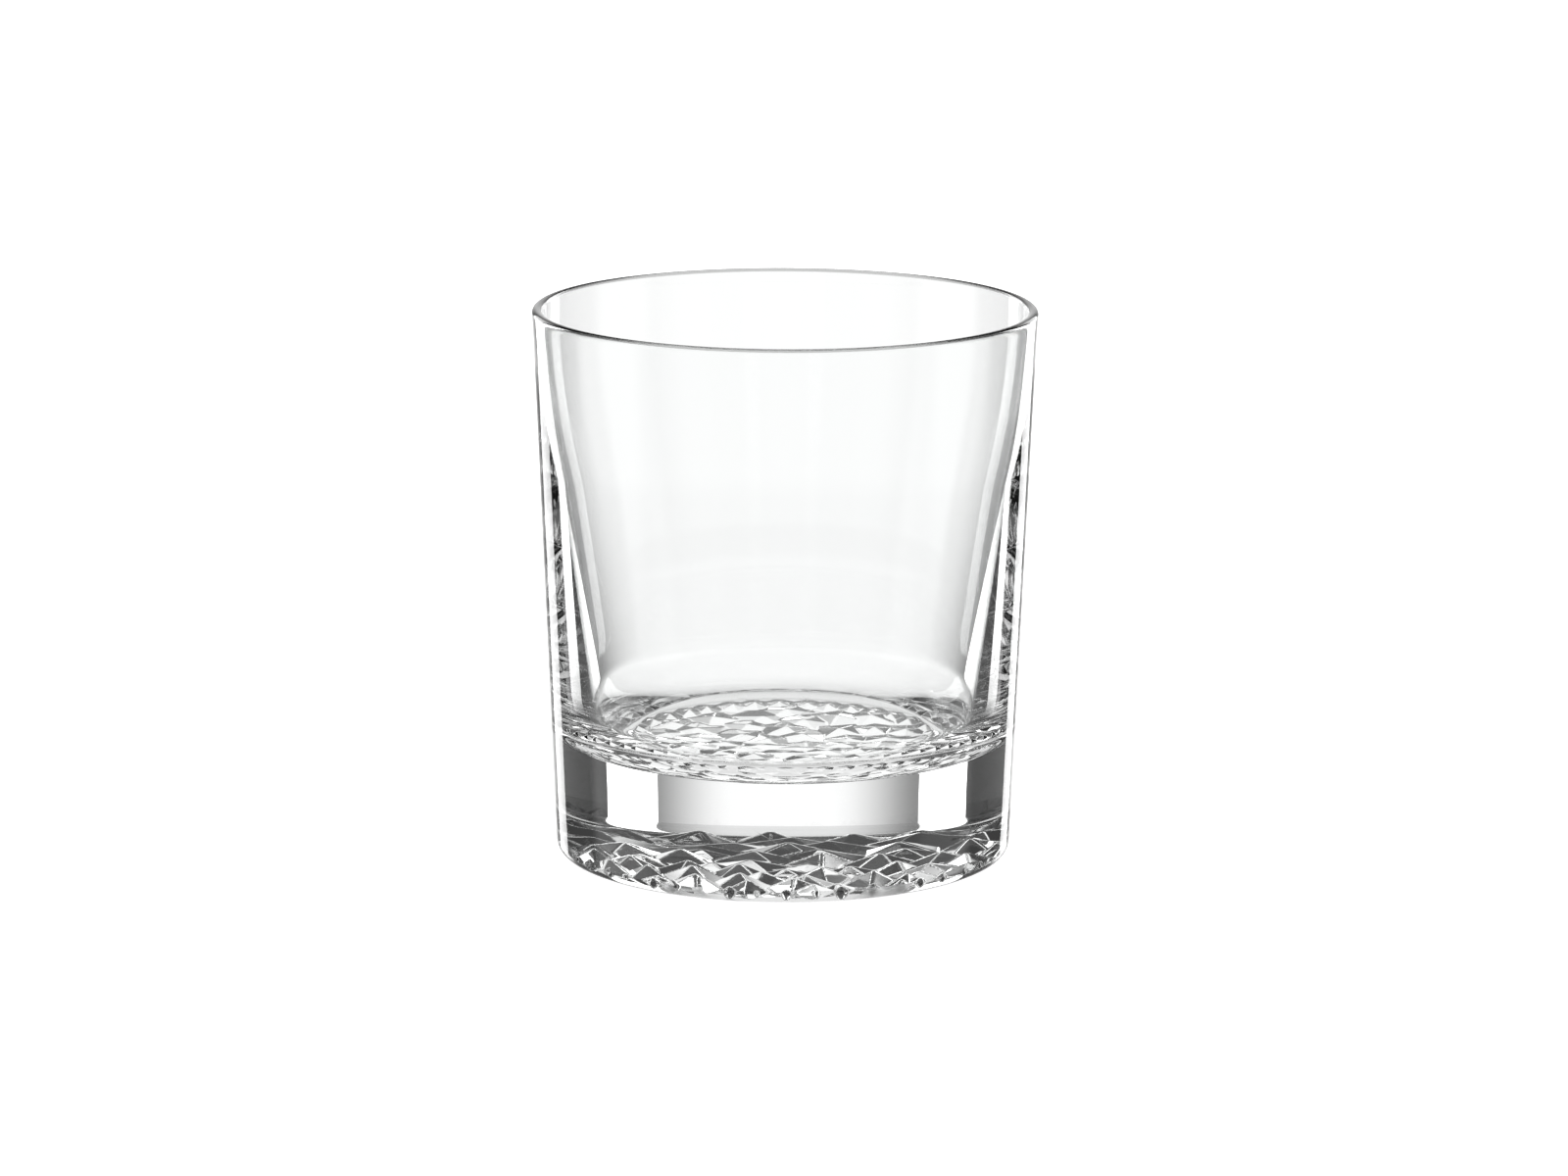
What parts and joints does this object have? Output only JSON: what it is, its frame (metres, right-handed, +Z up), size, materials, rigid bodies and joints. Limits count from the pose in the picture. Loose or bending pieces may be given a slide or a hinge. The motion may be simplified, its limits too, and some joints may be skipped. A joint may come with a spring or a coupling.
{
  "type": "whiskey tumbler",
  "caption": "Straight-sided clear glass tumbler with a gently tapered bowl, a thick solid base and a faceted ice-like relief pressed into the underside.",
  "frame": {"origin": "centre of the circle that the glass stands on, at the bottom of the base", "axes": "+Z up along the axis of the glass, from the base to the lip; the bowl and the outside are round about it, so X and Y are free"},
  "size_m": [0.0826, 0.0826, 0.091],
  "materials": {
    "clear_glass": "polished colourless soda-lime glass, fire-polished lip, smooth bowl, pressed facets below"
  },
  "bodies": {
    "root": {"bowl_wall": "clear_glass", "base": "clear_glass"}
  },
  "joints": []
}
